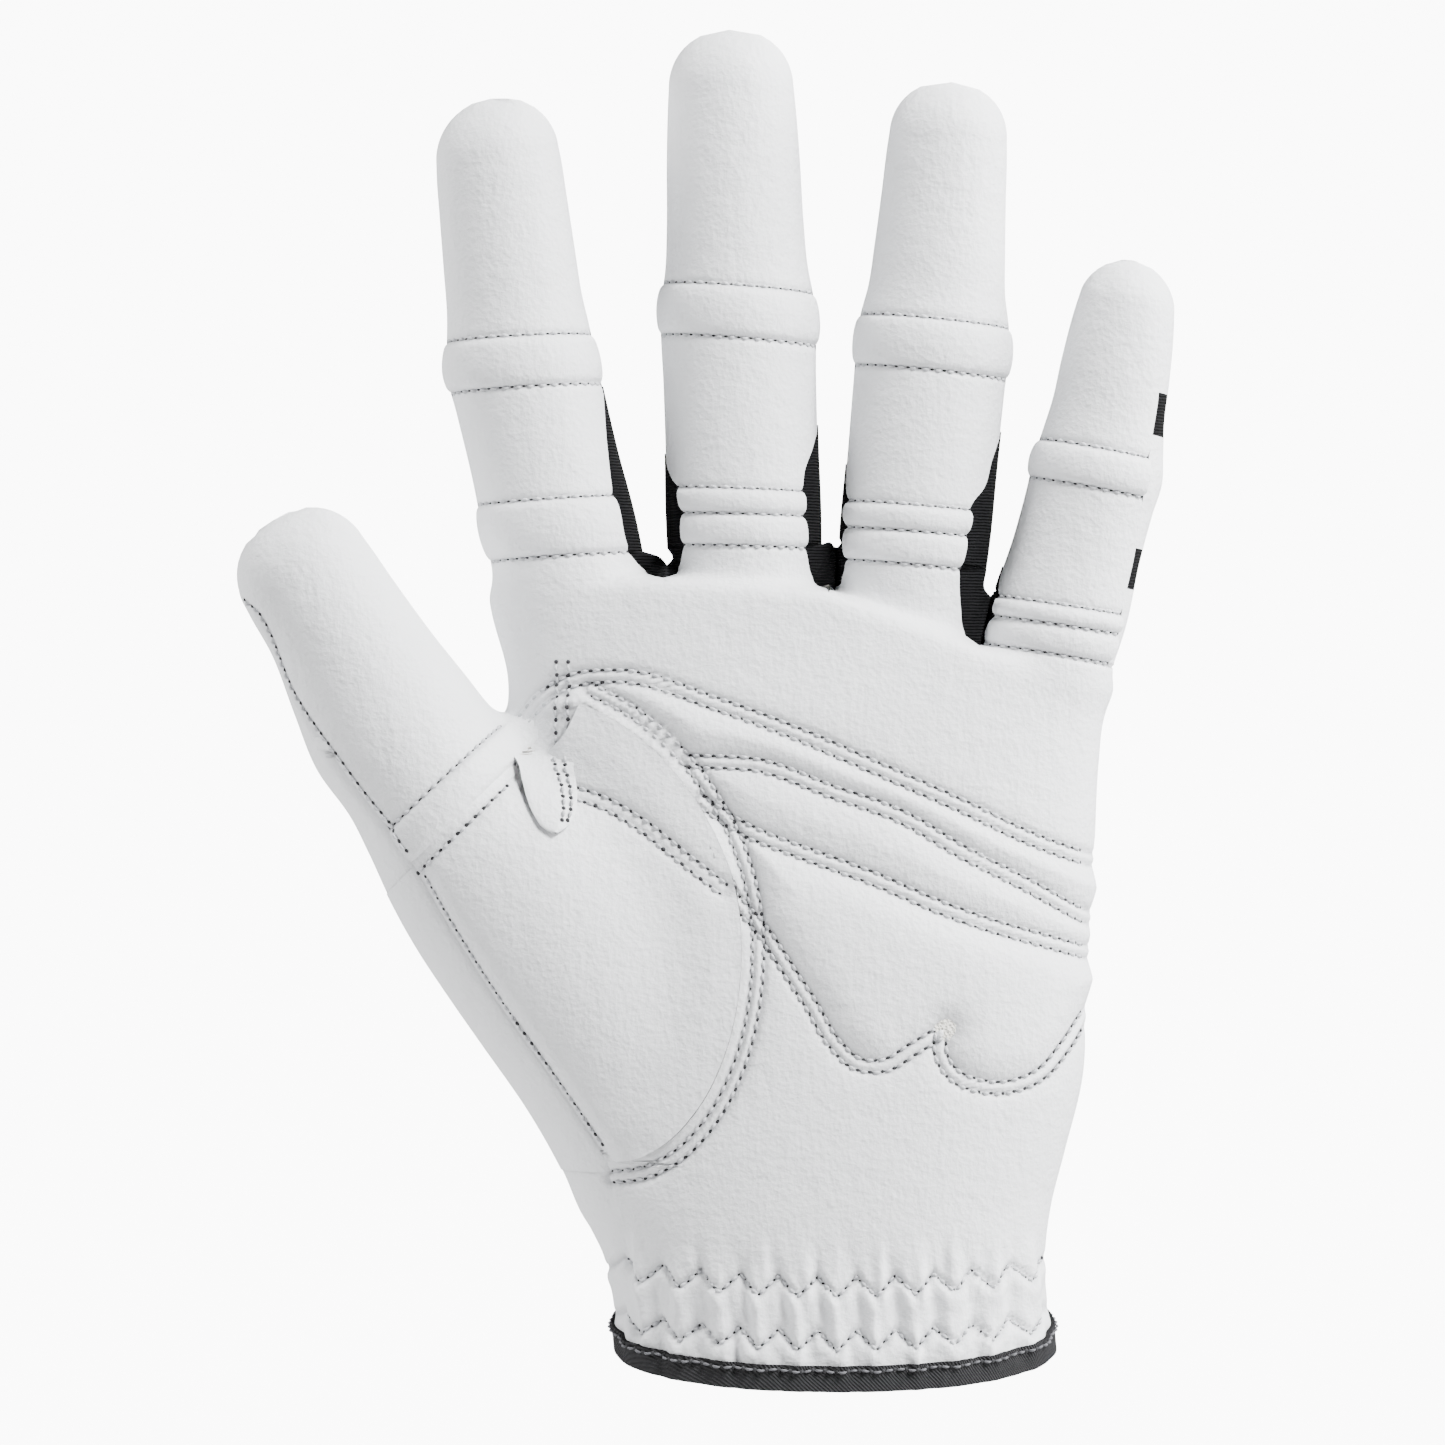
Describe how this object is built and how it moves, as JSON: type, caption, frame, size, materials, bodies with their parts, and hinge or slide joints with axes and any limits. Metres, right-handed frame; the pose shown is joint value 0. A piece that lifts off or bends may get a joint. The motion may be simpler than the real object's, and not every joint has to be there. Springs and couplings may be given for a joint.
{
  "type": "golf glove",
  "caption": "Left-hand golf glove in white leather with padded rolls at the finger folds, black stretch strips between the fingers, a bound cuff and a hook-and-loop tab on the back.",
  "frame": {"origin": "centre of the cuff's mouth, on the line that the wrist comes in by", "axes": "+Z from the cuff to the fingertips, -Y the way the palm faces, -X towards the thumb"},
  "size_m": [0.1527, 0.0468, 0.2255],
  "materials": {
    "white_leather": "soft matt hairsheep leather with a fine pebbled grain",
    "black_stretch": "fine ribbed stretch knit",
    "foam": "soft closed foam sheet",
    "lining_cloth": "thin looped cloth",
    "black_binding": "folded tape with a fine rib",
    "elastic": "woven elastic tape",
    "label": "plain woven label, blank",
    "loop_tape": "brushed loop pile",
    "hook_tape": "moulded hooks in rows"
  },
  "bodies": {
    "hand": {"palm_leather": "white_leather", "back_leather": "white_leather", "thumb_heel_leather": "white_leather", "thumb_root_back_leather": "white_leather", "thumb_crotch_strip": "white_leather", "crease_pad": "foam", "heel_pad": "foam", "palm_lining": "lining_cloth", "cuff_binding": "black_binding", "cuff_elastics": "elastic", "slit_binding": "black_binding", "size_label": "label", "loop_patch": "loop_tape", "tab_anchor": "white_leather", "index_middle_fourchette": "black_stretch", "middle_ring_fourchette": "black_stretch", "ring_little_fourchette": "black_stretch", "thumb_roll": "white_leather", "index_base_roll": "white_leather", "index_base_band": "black_stretch", "middle_base_roll": "white_leather", "middle_base_band": "black_stretch", "ring_base_roll": "white_leather", "ring_base_band": "black_stretch", "little_base_roll": "white_leather", "little_base_band": "black_stretch"},
    "index_lower": {"index_lower_front_leather": "white_leather", "index_lower_back_leather": "white_leather", "index_lower_fourchette": "black_stretch", "index_middle_roll": "white_leather", "index_middle_band": "black_stretch"},
    "index_tip": {"index_tip_front_leather": "white_leather", "index_tip_back_leather": "white_leather"},
    "middle_lower": {"middle_lower_front_leather": "white_leather", "middle_lower_back_leather": "white_leather", "middle_lower_fourchette": "black_stretch", "middle_middle_roll": "white_leather", "middle_middle_band": "black_stretch"},
    "middle_tip": {"middle_tip_front_leather": "white_leather", "middle_tip_back_leather": "white_leather"},
    "ring_lower": {"ring_lower_front_leather": "white_leather", "ring_lower_back_leather": "white_leather", "ring_lower_fourchette": "black_stretch", "ring_middle_roll": "white_leather", "ring_middle_band": "black_stretch"},
    "ring_tip": {"ring_tip_front_leather": "white_leather", "ring_tip_back_leather": "white_leather"},
    "little_lower": {"little_lower_front_leather": "white_leather", "little_lower_back_leather": "white_leather", "little_lower_fourchette": "black_stretch", "little_middle_roll": "white_leather", "little_middle_band": "black_stretch"},
    "little_tip": {"little_tip_front_leather": "white_leather", "little_tip_back_leather": "white_leather"},
    "thumb": {"thumb_front_leather": "white_leather", "thumb_back_leather": "white_leather"},
    "tab": {"closure_tab": "white_leather", "hook_patch": "hook_tape"}
  },
  "joints": [
    {"name": "index_base_fold", "type": "hinge", "parent": "hand", "child": "index_lower", "pos_m": [-0.0458, 0.0005, 0.1358], "axis": [0.973, 0, 0.2306], "range_deg": [0, 70], "deforming": ["index_base_roll", "index_base_band"]},
    {"name": "index_middle_fold", "type": "hinge", "parent": "index_lower", "child": "index_tip", "pos_m": [-0.0522, -0.001, 0.1628], "axis": [0.986, 0, 0.1665], "range_deg": [0, 90], "deforming": ["index_middle_roll", "index_middle_band"]},
    {"name": "middle_base_fold", "type": "hinge", "parent": "hand", "child": "middle_lower", "pos_m": [-0.0152, 0.0015, 0.137], "axis": [0.9996, 0, 0.0286], "range_deg": [0, 70], "deforming": ["middle_base_roll", "middle_base_band"]},
    {"name": "middle_middle_fold", "type": "hinge", "parent": "middle_lower", "child": "middle_tip", "pos_m": [-0.0162, 0.0005, 0.172], "axis": [0.9995, 0, 0.0314], "range_deg": [0, 90], "deforming": ["middle_middle_roll", "middle_middle_band"]},
    {"name": "ring_base_fold", "type": "hinge", "parent": "hand", "child": "ring_lower", "pos_m": [0.0133, 0.0005, 0.1347], "axis": [0.9957, 0, -0.0928], "range_deg": [0, 70], "deforming": ["ring_base_roll", "ring_base_band"]},
    {"name": "ring_middle_fold", "type": "hinge", "parent": "ring_lower", "child": "ring_tip", "pos_m": [0.0162, -0.001, 0.1658], "axis": [0.9968, 0, -0.0805], "range_deg": [0, 90], "deforming": ["ring_middle_roll", "ring_middle_band"]},
    {"name": "little_base_fold", "type": "hinge", "parent": "hand", "child": "little_lower", "pos_m": [0.0372, -0.001, 0.1215], "axis": [0.966, 0, -0.2584], "range_deg": [0, 70], "deforming": ["little_base_roll", "little_base_band"]},
    {"name": "little_middle_fold", "type": "hinge", "parent": "little_lower", "child": "little_tip", "pos_m": [0.0437, -0.003, 0.1458], "axis": [0.9805, 0, -0.1965], "range_deg": [0, 90], "deforming": ["little_middle_roll", "little_middle_band"]},
    {"name": "thumb_fold", "type": "hinge", "parent": "hand", "child": "thumb", "pos_m": [-0.063, -0.006, 0.0903], "axis": [0.8544, 0, 0.5195], "range_deg": [0, 50], "deforming": ["thumb_roll"]},
    {"name": "tab_peel", "type": "hinge", "parent": "hand", "child": "tab", "pos_m": [-0.021, 0.02034, 0.0245], "axis": [0, 0, 1], "range_deg": [0, 120]}
  ]
}
